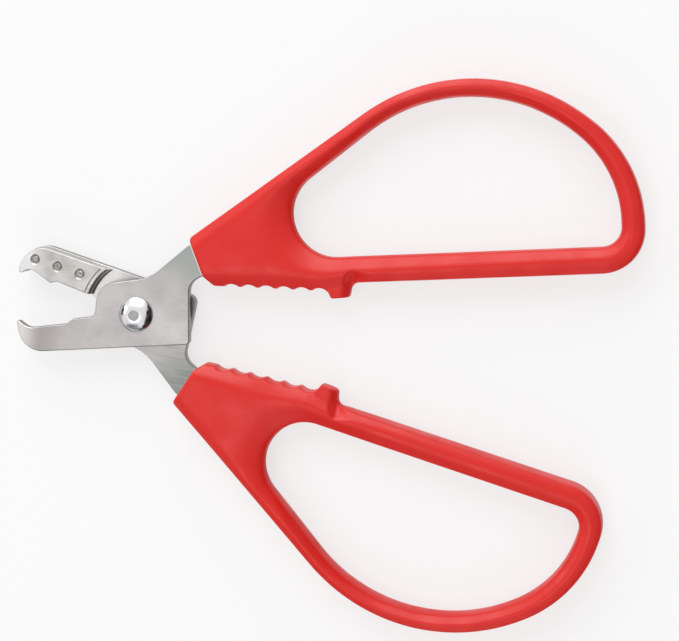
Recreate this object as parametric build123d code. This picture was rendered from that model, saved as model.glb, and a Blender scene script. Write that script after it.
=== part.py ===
from build123d import *
import math
import os

# Seed sheller pliers, lying flat in their half-open pose.
# Two stamped steel levers cross at a pivot pin. The front lever carries the lower jaw
# and the upper handle, the rear lever carries the upper jaw and the lower handle.
# A riveted plate brings the upper jaw forward into the plane of the lower jaw.
# Each lever ends in a tang inside a moulded handle with a grip loop.
#
# Both levers are drawn as the front one lies: jaw below, handle above, the plane where
# the levers meet at height 0 and the pivot at the origin. The rear lever is then turned
# over about X. Lengths are in millimetres, angles in degrees.

# Steel levers
blade_thickness = 2.5
blade_bevel = 0.25
lap_gap = 0.1
jaw_reach = 33.8
jaw_depth = 14.9
body_reach = 13.6
body_rise = 20.4
tang_end_width = 6.4
tang_end_wall = 6.0
tang_corner_radius = 2.4
tang_hole_diameter = 3.0
tang_hole_pitch = 7.5

# Pivot pin and domed washer
pin_diameter = 5.0
running_gap = 0.05
side_play = 0.05
tenon_diameter = 2.9
tenon_stand = 0.08
dome_diameter = 9.4
dome_height = 2.2
dome_rim = 0.45
head_diameter = 8.6
head_height = 1.5
head_bevel = 0.4

# Jaw plate and its rivets
plate_thickness = 2.5
plate_inset = 0.45
plate_bevel = 0.4
plate_end_gap = 1.9
plate_end_bevel = 1.2
plate_end_land = 0.5
rivet_diameter = 2.0
rivet_count = 3
ring_diameter = 2.9
ring_depth = 0.4
foot_diameter = 3.0
foot_depth = 0.5

# Moulded handles
handle_thickness = 9.0
rim_height = 5.6
grip_reach = 131.0
grip_rise = 83.1
strip_near_wall = 8.6
strip_far_wall = 2.8
strip_slope = 2.0
arch_wall = 5.1
end_wall = 5.9
bar_wall = 6.8
crest_width = 0.8
root_slope = 0.7
band_width = 4.6
hole_end_radius = 11.3
tooth_count = 5
tooth_pitch = 4.75
tooth_tip = 0.65
tooth_depth = 0.75
first_tooth_length = 2.7
nub_width = 5.0
nub_drop = 4.0
nub_thickness = 6.6
nub_bevel = 0.7
overrun = 1.0

# Corners of the outlines, as shares of a reach along X and of a rise along Y, and the
# radius of the arc there as a share of the same reach. They run with the steel or the
# moulding on their left. Two neighbouring arcs take up at most this share of their side.
side_fill_share = 0.98

# Jaws, of jaw_reach and jaw_depth: along the bite to the hook, the nose and the heel.
lower_jaw_shares = [
    (-0.521, -0.248, 0.030),
    (-0.574, -0.356, 0.044),
    (-0.893, -0.534, 0.118),
    (-1.000, -0.393, 0.013),
    (-0.928, -1.000, 0.198),
    (0.456, -0.403, 0.036),
]
upper_jaw_shares = [
    (-0.441, -0.248, 0.018),
    (-0.689, -0.386, 0.024),
    (-0.740, -0.339, 0.015),
    (-0.926, -0.570, 0.095),
    (-1.015, -0.410, 0.018),
    (-1.003, -1.080, 0.207),
    (0.456, -0.440, 0.070),
]
# Waist and the start of the tang, of body_reach and body_rise.
waist_shares = [
    (1.000, 0.510, 0.295),
    (1.430, 0.700, 0.220),
]
# Outer edge of the arm, crook, shoulder and throat, of body_reach and body_rise.
shoulder_shares = [
    (0.926, 1.000, 0.295),
    (0.191, 0.500, 0.880),
    (-0.853, 0.324, 0.430),
    (-0.853, -0.105, 0.145),
]
# Front end of the handle, of body_reach and body_rise.
root_shares = [
    (0.904, 1.093, 0.090),
    (1.272, 0.618, 0.070),
    (1.493, 0.507, 0.060),
]
# Underside, far end and arch of the handle, of grip_reach and grip_rise.
loop_shares = [
    (0.378, 0.1565, 0.025),
    (0.441, 0.1975, 0.025),
    (1.000, 0.350, 0.084),
    (0.9626, 0.686, 0.267),
    (0.6183, 1.000, 0.370),
]
# Radii of the same far corners on the hole and on the two crest lines.
hole_radius_shares = [0.038, 0.229, 0.328]
inner_crest_radius_shares = [0.050, 0.245, 0.345]
outer_crest_radius_shares = [0.060, 0.252, 0.352]
crest_end_radius_share = 1.06
# Middles of the first and last rivet, of jaw_reach and jaw_depth.
rivet_ends_shares = [(-0.501, -0.579), (-0.883, -0.728)]
# The plate before its curved end is cut: how far its back runs from nose to heel, and
# the corner that closes it near the pivot.
plate_back_share = 0.56
plate_end_shares = (-0.260, -0.200, 0.040)
# Middle of the nub along the handle, of grip_reach, and its corners, of nub_width and
# nub_drop, from the middle of its end face, which points past the pivot.
nub_place_share = 0.416
nub_shares = [
    (-0.900, 0.690, 0.180),
    (-0.488, -0.130, 0.180),
    (0.445, 0.120, 0.200),
    (0.510, 1.450, 0.180),
    (-0.400, 1.450, 0.180),
]

# Sizes that follow from the ones above
blade_low = lap_gap / 2
blade_high = blade_low + blade_thickness
plate_high = lap_gap / 2
plate_low = plate_high - plate_thickness
handle_half = handle_thickness / 2
rim_half = rim_height / 2
boss_radius = math.hypot(shoulder_shares[-1][0] * body_reach, shoulder_shares[-1][1] * body_rise)
plate_end_diameter = 2 * (boss_radius + plate_end_gap)


def scaled(rows, reach, rise):
    """Turn rows of shares into corners with a radius."""
    return [(x * reach, y * rise, r * reach) for x, y, r in rows]


def direction(start, end):
    """Return the unit vector from one point to another, and the distance."""
    length = math.hypot(end[0] - start[0], end[1] - start[1])
    return (end[0] - start[0]) / length, (end[1] - start[1]) / length, length


def corner_arcs(corners):
    """Return each corner's arc as its start, middle, end and centre.

    Two arcs that want more than their side shrink together until they fit on it.
    """
    count = len(corners)
    turns = []
    for i, (x, y, radius) in enumerate(corners):
        back = direction(corners[i], corners[i - 1])
        ahead = direction(corners[i], corners[(i + 1) % count])
        half = math.acos(back[0] * ahead[0] + back[1] * ahead[1]) / 2
        turns.append((back, ahead, half, radius / math.tan(half)))
    fits = []
    for i in range(count):
        wanted = turns[i][3] + turns[(i + 1) % count][3]
        fits.append(min(1, side_fill_share * turns[i][1][2] / wanted))
    arcs = []
    for i, (back, ahead, half, cut) in enumerate(turns):
        x, y = corners[i][0], corners[i][1]
        cut *= min(fits[i - 1], fits[i])
        radius = cut * math.tan(half)
        inward = direction((0, 0), (back[0] + ahead[0], back[1] + ahead[1]))
        depth = radius / math.sin(half)
        centre = (x + depth * inward[0], y + depth * inward[1])
        start = (x + cut * back[0], y + cut * back[1])
        end = (x + cut * ahead[0], y + cut * ahead[1])
        middle = (centre[0] - radius * inward[0], centre[1] - radius * inward[1])
        arcs.append((start, middle, end, centre))
    return arcs


def outline_face(corners, height=0.0):
    """Return a flat face with straight sides and a tangent arc at each corner."""
    arcs = corner_arcs(corners)
    edges = []
    for i, (start, middle, end, centre) in enumerate(arcs):
        edges.append(ThreePointArc(start, middle, end))
        edges.append(Line(end, arcs[(i + 1) % len(arcs)][0]))
    return Pos(0, 0, height) * make_face(edges)


def crossing(first, second):
    """Return where two lines meet, each given as a point and a direction."""
    (p, d), (q, e) = first, second
    across = d[0] * e[1] - d[1] * e[0]
    along = ((q[0] - p[0]) * e[1] - (q[1] - p[1]) * e[0]) / across
    return p[0] + along * d[0], p[1] + along * d[1]


def inset_corners(corners, insets, radii):
    """Move each side to its left by an inset at its start and one at its end.

    Side i runs from corner i to the next. The new corners are where the sides now meet.
    """
    sides = []
    for i, (first, last) in enumerate(insets):
        start, end = corners[i], corners[(i + 1) % len(corners)]
        dx, dy, length = direction(start, end)
        moved_start = (start[0] - dy * first, start[1] + dx * first)
        moved_end = (end[0] - dy * last, end[1] + dx * last)
        sides.append((moved_start, direction(moved_start, moved_end)))
    moved = []
    for i, radius in enumerate(radii):
        x, y = crossing(sides[i - 1], sides[i])
        moved.append((x, y, radius))
    return moved


def disc(diameter, low, high, place=(0.0, 0.0)):
    """Return an upright round bar between two heights."""
    middle = Pos(place[0], place[1], (low + high) / 2)
    return middle * Cylinder(diameter / 2, high - low)


def flare(low_diameter, high_diameter, low, high, place=(0.0, 0.0)):
    """Return an upright cone between two heights."""
    middle = Pos(place[0], place[1], (low + high) / 2)
    return middle * Cone(low_diameter / 2, high_diameter / 2, high - low)


def taper(low_corners, low, high_corners, high):
    """Return the body between two outlines with as many corners, one above the other."""
    return loft([outline_face(low_corners, low), outline_face(high_corners, high)], ruled=True)


# The handle's outline, and the frame that its loop's four long sides would make.
loop_corners = scaled(loop_shares, grip_reach, grip_rise)
root_corners = scaled(root_shares, body_reach, body_rise)
handle_corners = loop_corners + root_corners
bar_foot, bar_end, far_end, arch_top = loop_corners[1:]
bar_line = (bar_foot, direction(bar_foot, bar_end))
strip_line = (arch_top, direction(arch_top, root_corners[0]))
frame_corners = [crossing(bar_line, strip_line), bar_end, far_end, arch_top]
bar_slope, end_slope, arch_slope = [
    (wall - crest_width) / 2 for wall in (bar_wall, end_wall, arch_wall)
]
outer_slopes = [bar_slope, end_slope, arch_slope, strip_slope]


def loop_line(insets, end_radius, radius_shares):
    """Return the corners of a line that runs round the hole of the loop."""
    radii = [end_radius] + [share * grip_reach for share in radius_shares]
    return inset_corners(frame_corners, insets, radii)


hole_corners = loop_line(
    [(bar_wall, bar_wall), (end_wall, end_wall), (arch_wall, arch_wall),
     (strip_far_wall, strip_near_wall)],
    hole_end_radius,
    hole_radius_shares,
)
inner_crest_corners = loop_line(
    [(slope + crest_width, slope + crest_width) for slope in outer_slopes],
    hole_end_radius * crest_end_radius_share,
    inner_crest_radius_shares,
)
hole_end_centre = corner_arcs(hole_corners)[0][3]


def outer_crest():
    """Return the corners of the crest line that follows the handle's outer edge."""
    insets = [(band_width, bar_slope)]
    insets += [(slope, slope) for slope in outer_slopes + [root_slope, root_slope]]
    insets += [(2 * root_slope, band_width)]
    far = [share * grip_reach for share in outer_crest_radius_shares]
    near = [corner[2] for corner in loop_corners[:2]]
    return inset_corners(handle_corners, insets, near + far + [root_slope] * 3)


def tang_frame():
    """Return the tang's end point and its direction, from the arm to the hole's end."""
    outer, inner = scaled(shoulder_shares[:1] + waist_shares[1:], body_reach, body_rise)
    start = ((outer[0] + inner[0]) / 2, (outer[1] + inner[1]) / 2)
    dx, dy, length = direction(start, hole_end_centre)
    run = length - hole_end_radius - tang_end_wall
    return (start[0] + dx * run, start[1] + dy * run), (dx, dy)


def lever_blade(jaw_shares, bore_diameter):
    """Return a stamped lever with its jaw, boss, arm and tang."""
    (x, y), (dx, dy) = tang_frame()
    half = tang_end_width / 2
    tang = [
        (x + dy * half, y - dx * half, tang_corner_radius),
        (x - dy * half, y + dx * half, tang_corner_radius),
    ]
    jaw = scaled(jaw_shares, jaw_reach, jaw_depth)
    waist = scaled(waist_shares, body_reach, body_rise)
    shoulder = scaled(shoulder_shares, body_reach, body_rise)
    slab = extrude(outline_face(jaw + waist + tang + shoulder, blade_low), blade_thickness)
    blade = chamfer(slab.edges().filter_by(Plane.XY), blade_bevel)
    blade -= disc(bore_diameter, blade_low - overrun, blade_high + overrun)
    for i in range(2):
        back = half + i * tang_hole_pitch
        place = (x - dx * back, y - dy * back)
        blade -= disc(tang_hole_diameter, blade_low - overrun, blade_high + overrun, place)
    return blade


def rivet_places():
    """Return the middles of the rivets, evenly spaced from the first to the last."""
    (x0, y0), (x1, y1) = rivet_ends_shares
    places = []
    for i in range(rivet_count):
        part = i / max(1, rivet_count - 1)
        x = x0 + part * (x1 - x0)
        y = y0 + part * (y1 - y0)
        places.append((x * jaw_reach, y * jaw_depth))
    return places


def rivet(place):
    """Return one rivet: a plain end in the plate and a flared foot in the blade."""
    foot = blade_high - foot_depth
    body = disc(rivet_diameter, plate_low, foot, place)
    return body + flare(rivet_diameter, foot_diameter, foot, blade_high, place)


def rivet_holes(blade):
    """Cut the rivets' holes through the upper jaw."""
    foot = blade_high - foot_depth
    for place in rivet_places():
        blade -= disc(rivet_diameter, blade_low - overrun, foot, place)
        blade -= flare(rivet_diameter, foot_diameter, foot, blade_high, place)
    return blade


def jaw_plate():
    """Return the plate that lies on the upper jaw, with its curved and sloping end."""
    corners = scaled(upper_jaw_shares + [plate_end_shares], jaw_reach, jaw_depth)
    nose, heel, close = corners[-3:]
    back = [a + plate_back_share * (b - a) for a, b in zip(nose, heel)]
    corners[-2] = (back[0], back[1], close[2])
    insets = [(0.0, 0.0)] * (len(corners) - 3) + [(plate_inset, plate_inset)]
    insets += [(0.0, 0.0)] * 2
    corners = inset_corners(corners, insets, [corner[2] for corner in corners])
    plate = extrude(outline_face(corners, plate_low), plate_thickness)
    plate = chamfer(plate.edges().filter_by(Plane.XY).group_by(Axis.Z)[0], plate_bevel)
    plate -= disc(plate_end_diameter, plate_low - overrun, plate_high + overrun)
    land = plate_high - plate_end_land
    plate -= flare(plate_end_diameter + 2 * plate_end_bevel, plate_end_diameter, plate_low, land)
    for place in rivet_places():
        plate -= disc(rivet_diameter, plate_low - overrun, plate_high + overrun, place)
        plate -= disc(ring_diameter, plate_low - overrun, plate_low + ring_depth, place)
    return plate


def pivot_pin():
    """Return the pin: a bevelled head behind, a shank and a thinner peened end."""
    head_top = -blade_high - side_play
    head = disc(head_diameter, head_top - head_height, head_top)
    head = chamfer(head.edges().group_by(Axis.Z)[0], head_bevel)
    shank = disc(pin_diameter, head_top, blade_high)
    tenon = disc(tenon_diameter, blade_high, blade_high + dome_height + tenon_stand)
    tenon = chamfer(tenon.edges().group_by(Axis.Z)[-1], tenon_stand)
    return head + shank + tenon


def dome_washer():
    """Return the domed washer that the pin's end is peened over."""
    bore, rim = tenon_diameter / 2, dome_diameter / 2
    top, step = blade_high + dome_height, blade_high + dome_rim
    section = [
        Line((bore, 0, top), (bore, 0, blade_high)),
        Line((bore, 0, blade_high), (rim, 0, blade_high)),
        Line((rim, 0, blade_high), (rim, 0, step)),
        TangentArc((bore, 0, top), (rim, 0, step), tangent=(1, 0, 0)),
    ]
    return revolve(make_face(section), Axis.Z)


def teeth_gaps():
    """Return the round bars that cut the gaps between the teeth under the root."""
    start, end = root_corners[-1], loop_corners[0]
    dx, dy, length = direction(start, end)
    chord = tooth_pitch - tooth_tip
    radius = (chord ** 2 / 4 + tooth_depth ** 2) / (2 * tooth_depth)
    out = radius - tooth_depth
    bars = []
    for i in range(tooth_count + 1):
        along = first_tooth_length + chord / 2 + i * tooth_pitch
        place = (start[0] + dx * along + dy * out, start[1] + dy * along - dx * out)
        bars.append(disc(2 * radius, -handle_half - overrun, handle_half + overrun, place))
    return bars


def nub():
    """Return the nub under the handle that meets its twin when the pliers close."""
    middle = nub_place_share * grip_reach
    foot, (dx, dy, length) = bar_line
    drop = foot[1] + (middle - foot[0]) * dy / dx - nub_drop
    corners = []
    for x, y, radius in nub_shares:
        corners.append((middle + x * nub_width, drop + y * nub_drop, radius * nub_width))
    block = extrude(outline_face(corners, -nub_thickness / 2), nub_thickness)
    return chamfer(block.edges().filter_by(Plane.XY), nub_bevel)


def moulded_handle(blade):
    """Return the moulding round a lever's tang, which also fills the tang's holes."""
    form = extrude(outline_face(handle_corners, -rim_half), rim_height)
    hole = extrude(outline_face(hole_corners, -rim_half), rim_height)
    crest = outer_crest()
    for side in (-1, 1):
        form += taper(handle_corners, side * rim_half, crest, side * handle_half)
        hole += taper(hole_corners, side * rim_half, inner_crest_corners, side * handle_half)
    for bar in teeth_gaps():
        form -= bar
    form += nub()
    return form - hole - blade


# The front lever is in place as drawn. The rear lever is turned over about X.
turned = Rot(180, 0, 0)
front_blade = lever_blade(lower_jaw_shares, pin_diameter)
rear_blade = rivet_holes(lever_blade(upper_jaw_shares, pin_diameter + 2 * running_gap))
nodes = {
    "front_blade": front_blade,
    "rear_blade": turned * rear_blade,
    "jaw_plate": turned * jaw_plate(),
    "jaw_plate_rivets": turned * Compound([rivet(place) for place in rivet_places()]),
    "pivot_pin": pivot_pin(),
    "dome_washer": dome_washer(),
    "upper_handle": moulded_handle(front_blade),
    "lower_handle": turned * moulded_handle(rear_blade),
}

# The origin is below the middle of the whole part, on the surface that it lies on.
box = Compound([shape for shape in nodes.values()]).bounding_box()
home = Pos(-(box.min.X + box.max.X) / 2, -(box.min.Y + box.max.Y) / 2, -box.min.Z)
os.makedirs("parts", exist_ok=True)
for name, shape in nodes.items():
    export_step(home * shape, f"parts/{name}.step")
print("box", box.size, "pivot at", (home * Vertex(0, 0, 0)).center())
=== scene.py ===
"""Looks of the seed sheller pliers: moulded handles, stamped levers, pivot, light and view.

Sizes in the classes are millimetres in the lever's own drawing: the pivot at the origin, the
plane where the levers meet at height 0, the jaw to the left and the handle above to the right.
The rear lever is the same drawing turned over about X. Meshes are written in metres in the
part's frame.
"""

import logging
from dataclasses import dataclass
from enum import Enum
from functools import cached_property

import bpy
import numpy as np
from mathutils import Matrix, Vector, geometry


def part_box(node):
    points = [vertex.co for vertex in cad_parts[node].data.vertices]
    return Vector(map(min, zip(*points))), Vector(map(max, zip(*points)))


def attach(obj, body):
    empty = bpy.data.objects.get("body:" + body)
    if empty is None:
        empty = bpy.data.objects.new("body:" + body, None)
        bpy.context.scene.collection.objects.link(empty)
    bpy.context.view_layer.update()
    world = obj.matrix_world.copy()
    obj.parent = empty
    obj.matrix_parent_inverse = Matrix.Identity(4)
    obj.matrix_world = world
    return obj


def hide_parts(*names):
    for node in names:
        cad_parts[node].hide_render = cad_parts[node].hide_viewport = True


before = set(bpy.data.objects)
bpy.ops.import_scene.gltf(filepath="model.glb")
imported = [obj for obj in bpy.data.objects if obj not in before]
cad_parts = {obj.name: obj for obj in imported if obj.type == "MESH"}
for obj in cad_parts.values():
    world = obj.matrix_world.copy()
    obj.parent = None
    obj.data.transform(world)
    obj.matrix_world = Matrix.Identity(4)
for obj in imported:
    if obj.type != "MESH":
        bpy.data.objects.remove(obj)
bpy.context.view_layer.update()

log = logging.getLogger("sheller")
Array = np.ndarray
Rows = tuple[tuple[float, ...], ...]
Shell = tuple[Array, list[list[int]]]
Socket = bpy.types.NodeSocket
MM = 0.001


class Lever(Enum):
    """The two levers: the body that a lever's pieces ride on, and 1 or -1 for its side up."""

    FRONT = ("front_lever", 1.0)
    REAR = ("rear_lever", -1.0)

    @property
    def body(self) -> str:
        """Name of the body."""
        return self.value[0]

    @property
    def side(self) -> float:
        """1 as drawn, -1 turned over about X."""
        return self.value[1]


# Plain geometry in the plane


def unit(vectors: Array) -> Array:
    """Give rows of vectors the length 1."""
    return vectors / np.linalg.norm(vectors, axis=-1, keepdims=True)


def cross(a: Array, b: Array) -> Array:
    """Give the upward part of the cross product of rows of flat vectors."""
    return a[..., 0] * b[..., 1] - a[..., 1] * b[..., 0]


def scaled(rows: Rows, reach: float, rise: float) -> Array:
    """Turn rows of shares of a reach, a rise and a reach into corners with a radius."""
    return np.array(rows) * [reach, rise, reach]


def smooth_step(low: float, high: float, value: Array) -> Array:
    """Go from 0 at low to 1 at high along 3t^2 - 2t^3."""
    t = np.clip((value - low) / (high - low), 0, 1)
    return t * t * (3 - 2 * t)


def lower_of(a: Array, b: Array, blend: Array | float) -> Array:
    """Take the lower of two heights, with the crease between them rounded.

    Where they differ by less than the blend, (blend - difference)^2 / (4 blend) comes off.
    """
    near = np.maximum(blend - np.abs(a - b), 0)
    return np.minimum(a, b) - near**2 / (4 * blend)


def higher_of(a: Array, b: Array, blend: Array | float) -> Array:
    """Take the higher of two heights, with the crease between them rounded."""
    return -lower_of(-a, -b, blend)


def inset_corners(corners: Array, insets: Array, radii: Array) -> Array:
    """Move each side of an outline to its left.

    A side's two ends move by its two insets along the side's left normal. A new corner is
    where two moved sides meet: p + d ((q - p) x e) / (d x e) for the lines p + d, q + e.

    Args:
        corners: rows of x, y and radius; side i runs from corner i to the next.
        insets: rows of the inset at a side's start and at its end.
        radii: radii of the new corners.

    Returns:
        The new rows of x, y and radius.
    """
    start = corners[:, :2]
    end = np.roll(start, -1, axis=0)
    along = unit(end - start)
    left = np.stack([-along[:, 1], along[:, 0]], axis=1)
    start, end = start + left * insets[:, :1], end + left * insets[:, 1:]
    line = end - start
    before, before_line = np.roll(start, 1, axis=0), np.roll(line, 1, axis=0)
    share = cross(start - before, line) / cross(before_line, line)
    return np.column_stack([before + before_line * share[:, None], radii])


@dataclass(frozen=True)
class Outline:
    """A closed outline of straight sides with a tangent arc at each corner.

    It runs counter-clockwise. Corners are rows of x, y and radius. Neighbouring arcs that
    want more than side_fill of their side shrink together. An arc has least_steps or more.
    """

    corners: Array
    side_fill: float = 0.98
    least_steps: int = 6

    def samples(self, line_steps: Array | float, arc_step: float) -> tuple[Array, Array, Array]:
        """Walk round the outline.

        An arc of radius r at a corner of half angle h starts r / tan h before the corner,
        and its centre is r / sin h from it along the middle of the corner.

        Args:
            line_steps: distance between samples on each straight side.
            arc_step: distance between samples on the arcs.

        Returns:
            The points, their outward normals and the number of the side or arc of each:
            2i on the arc of corner i, 2i + 1 on the side after it.
        """
        place, radius = self.corners[:, :2], self.corners[:, 2]
        side = np.roll(place, -1, axis=0) - place
        ahead, back = unit(side), unit(np.roll(place, 1, axis=0) - place)
        half = np.arccos((back * ahead).sum(1)) / 2
        cut = radius / np.tan(half)
        room = self.side_fill * np.linalg.norm(side, axis=1) / (cut + np.roll(cut, -1))
        fit = np.minimum(1, room)
        cut = cut * np.minimum(fit, np.roll(fit, 1))
        radius = cut * np.tan(half)
        centre = place + unit(back + ahead) * (radius / np.sin(half))[:, None]
        turn = np.sign(cross(-back, ahead))
        steps = np.broadcast_to(line_steps, radius.shape)
        points, normals, marks = [], [], []
        for i in range(len(radius)):
            begin = place[i] + cut[i] * back[i] - centre[i]
            sweep = turn[i] * (np.pi - 2 * half[i])
            count = max(self.least_steps, int(np.ceil(radius[i] * abs(sweep) / arc_step)))
            angle = np.arctan2(begin[1], begin[0]) + np.linspace(0, sweep, count + 1)
            out = np.stack([np.cos(angle), np.sin(angle)], axis=1)
            points.append(centre[i] + radius[i] * out)
            normals.append(turn[i] * out)
            j = (i + 1) % len(radius)
            first, last = place[i] + cut[i] * ahead[i], place[j] + cut[j] * back[j]
            count = max(2, int(np.ceil(np.linalg.norm(last - first) / steps[i])))
            share = np.linspace(0, 1, count + 1)[1:-1, None]
            points.append(first + share * (last - first))
            normals.append(np.broadcast_to([ahead[i][1], -ahead[i][0]], points[-1].shape))
            marks += [np.full(len(points[-2]), 2 * i), np.full(len(points[-1]), 2 * i + 1)]
        return np.concatenate(points), np.concatenate(normals), np.concatenate(marks)


def nearest_on(
    points: Array, line: Array, closed: bool, most: int = 1500000
) -> tuple[Array, Array, Array]:
    """Find the nearest place on a run of straight steps for each point.

    A point's share along a step is (offset . step) / |step|^2, held between 0 and 1.

    Args:
        points: rows of x and y.
        line: rows of x and y along the run.
        closed: whether the run comes back to its start.
        most: how many distances are worked out at once.

    Returns:
        The distance, positive to the left of the run, the place, and how far along it is.
    """
    step = (np.roll(line, -1, axis=0) - line)[:None if closed else -1]
    start = line[:len(step)]
    length = np.linalg.norm(step, axis=1)
    run = np.concatenate([[0], np.cumsum(length)])
    found = []
    for part in np.array_split(points, 1 + len(points) * len(step) // most):
        offset = part[:, None] - start
        share = np.clip((offset * step).sum(-1) / length**2, 0, 1)
        gap = offset - share[..., None] * step
        best = (gap**2).sum(-1).argmin(1)
        row = np.arange(len(part))
        off = gap[row, best]
        side = np.sign(cross(step[best], offset[row, best]))
        along = run[best] + share[row, best] * length[best]
        found.append(np.column_stack([np.linalg.norm(off, axis=1) * side, part - off, along]))
    table = np.concatenate(found)
    return table[:, 0], table[:, 1:3], table[:, 3]


def eased_along(
    stations: Rows, line: Array, closed: bool, along: Array, window: float = 4.0,
    step: float = 0.25,
) -> list[Array]:
    """Give values that change smoothly along a run.

    Between stations they go in straight steps, which a bell window then rounds off.

    Args:
        stations: rows of x and y beside the run and of one value or more there.
        line: rows of x and y along the run.
        closed: whether the run comes back to its start.
        along: distances along the run.
        window: half the bell's width.
        step: distance between the samples that the bell goes over.

    Returns:
        Each value at the distances.
    """
    table = np.array(stations)
    knots = nearest_on(table[:, :2], line, closed)[2]
    order = np.argsort(knots)
    ends = np.vstack([line, line[:1]]) if closed else line
    total = np.linalg.norm(np.diff(ends, axis=0), axis=1).sum()
    dense = np.arange(-3 * window, total + 3 * window, step)
    bell = np.hanning(int(2 * window / step) + 3)
    eased = []
    for value in table[order, 2:].T:
        raw = np.interp(dense, knots[order], value, period=total if closed else None)
        eased.append(np.interp(along, dense, np.convolve(raw, bell / bell.sum(), mode="same")))
    return eased


# Meshes


def pivot_place() -> Array:
    """Give the drawing's origin in the part's frame, in metres.

    Returns:
        The middle of the domed washer, at half the height of a handle.
    """
    low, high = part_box("dome_washer")
    bottom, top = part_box("upper_handle")
    return np.array([(low.x + high.x) / 2, (low.y + high.y) / 2, (bottom.z + top.z) / 2])


def ring_faces(rings: int, count: int, closed: bool = False) -> list[list[int]]:
    """Join rings of points by quads, from each ring to the next.

    Point k of ring r has the number r count + k. Rings that run counter-clockwise and go
    outwards below, up the wall and inwards above have their faces outwards.

    Args:
        rings: how many rings there are.
        count: how many points each ring has.
        closed: whether the last ring joins the first.

    Returns:
        The quads.
    """
    ring = np.arange(rings if closed else rings - 1)[:, None] * count
    after = (ring + count) % (rings * count)
    point = np.arange(count)[None]
    beside = (point + 1) % count
    quads = np.stack([ring + point, ring + beside, after + beside, after + point], axis=-1)
    return quads.reshape(-1, 4).tolist()


def capped(rings: Array, below: bool = True) -> Shell:
    """Close a stack of rings with flat faces.

    Args:
        rings: points by ring, point and coordinate.
        below: whether the first ring is closed as well as the last.

    Returns:
        The shell.
    """
    count = rings.shape[1]
    faces = ring_faces(len(rings), count)
    last = (len(rings) - 1) * count
    if below:
        faces.append(list(range(count))[::-1])
    faces.append(list(range(last, last + count)))
    return rings.reshape(-1, 3), faces


def joined(shells: list[Shell]) -> Shell:
    """Put shells into one.

    Args:
        shells: points and faces of each.

    Returns:
        All points and all faces, with each shell's points numbered on from the one before.
    """
    shift, faces = 0, []
    for points, own in shells:
        faces += [[k + shift for k in face] for face in own]
        shift += len(points)
    return np.concatenate([points for points, _ in shells]), faces


def outline_rings(points: Array, normals: Array, steps: Array) -> Array:
    """Carry an outline up a profile.

    Each ring is the outline moved inwards along its own normals.

    Args:
        points: the outline.
        normals: its outward normals.
        steps: rows of inset and height.

    Returns:
        Points by ring, point and coordinate.
    """
    flat = points - steps[:, :1, None] * normals[None]
    height = np.broadcast_to(steps[:, 1:, None], flat.shape[:2] + (1,))
    return np.concatenate([flat, height], axis=2)


def turned_rings(profile: Array, place: Array, count: int) -> Array:
    """Turn a profile of radius and height about an upright axis.

    Point k of each ring stands at the angle 2 pi k / count.

    Args:
        profile: rows of radius and height, from the axis below round to the axis above.
        place: x and y of the axis.
        count: how many points a ring has.

    Returns:
        Points by ring, point and coordinate.
    """
    angle = np.arange(count) * 2 * np.pi / count
    around = np.stack([np.cos(angle), np.sin(angle)], axis=1)
    return outline_rings(np.broadcast_to(place, around.shape), around, profile * [-1, 1])


def quarter(radius: float, count: int = 5) -> Array:
    """Give a rounded edge as rows of inset and drop, from the wall to the flat.

    The inset is r (1 - cos a) and the drop r (1 - sin a), for a from 0 to 90 degrees.
    """
    angle = np.linspace(0, np.pi / 2, count)
    return radius * np.stack([1 - np.cos(angle), 1 - np.sin(angle)], axis=1)


def put(name: str, data: bpy.types.ID) -> bpy.types.Object:
    """Put a mesh, a lamp or a camera into the scene.

    Args:
        name: the object's name.
        data: what it shows.

    Returns:
        The new object.
    """
    item = bpy.data.objects.new(name, data)
    bpy.context.scene.collection.objects.link(item)
    return item


def add_piece(
    name: str, shell: Shell, lever: Lever, node: str, material: bpy.types.Material
) -> None:
    """Put a piece into the scene on its lever.

    Args:
        name: the piece's name.
        shell: points in the drawing, in millimetres, and faces.
        lever: the lever that it belongs to.
        node: the CAD node that it stands for.
        material: its finish.
    """
    points, faces = shell
    placed = points * [1, lever.side, lever.side] * MM + pivot_place()
    mesh = bpy.data.meshes.new(name)
    mesh.from_pydata(placed.tolist(), [], faces)
    mesh.polygons.foreach_set("use_smooth", np.ones(len(mesh.polygons), bool))
    mesh.materials.append(material)
    mesh.update()
    piece = put(name, mesh)
    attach(piece, lever.body)
    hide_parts(node)
    log.info("%s: %d faces on %s", name, len(mesh.polygons), lever.body)


# Finishes


def linear(code: str) -> tuple[float, float, float, float]:
    """Turn an sRGB hex value into a linear colour.

    Args:
        code: six hex digits after a hash sign.

    Returns:
        Red, green, blue and a full alpha.
    """
    shares = [int(code[i:i + 2], 16) / 255 for i in (1, 3, 5)]
    red, green, blue = [
        s / 12.92 if s <= 0.04045 else ((s + 0.055) / 1.055) ** 2.4 for s in shares
    ]
    return red, green, blue, 1.0


def add_node(
    tree: bpy.types.NodeTree, kind: str, settings: dict | None = None, links: dict | None = None
) -> bpy.types.Node:
    """Add one node to a tree.

    Args:
        tree: the tree that it goes into.
        kind: the node's type name.
        settings: values by the name or number of an input, or by a property's name.
        links: output sockets by the name or number of the input that they feed.

    Returns:
        The new node.
    """
    node = tree.nodes.new(kind)
    for name, value in (settings or {}).items():
        if isinstance(name, int) or name in node.inputs:
            node.inputs[name].default_value = value
        else:
            setattr(node, name, value)
    for name, source in (links or {}).items():
        tree.links.new(source, node.inputs[name])
    return node


def new_material(name: str) -> tuple[bpy.types.Material, bpy.types.NodeTree]:
    """Make an empty material.

    Args:
        name: the material's name.

    Returns:
        The material and its tree.
    """
    material = bpy.data.materials.new(name)
    material.use_nodes = True
    material.node_tree.nodes.clear()
    return material, material.node_tree


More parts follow.
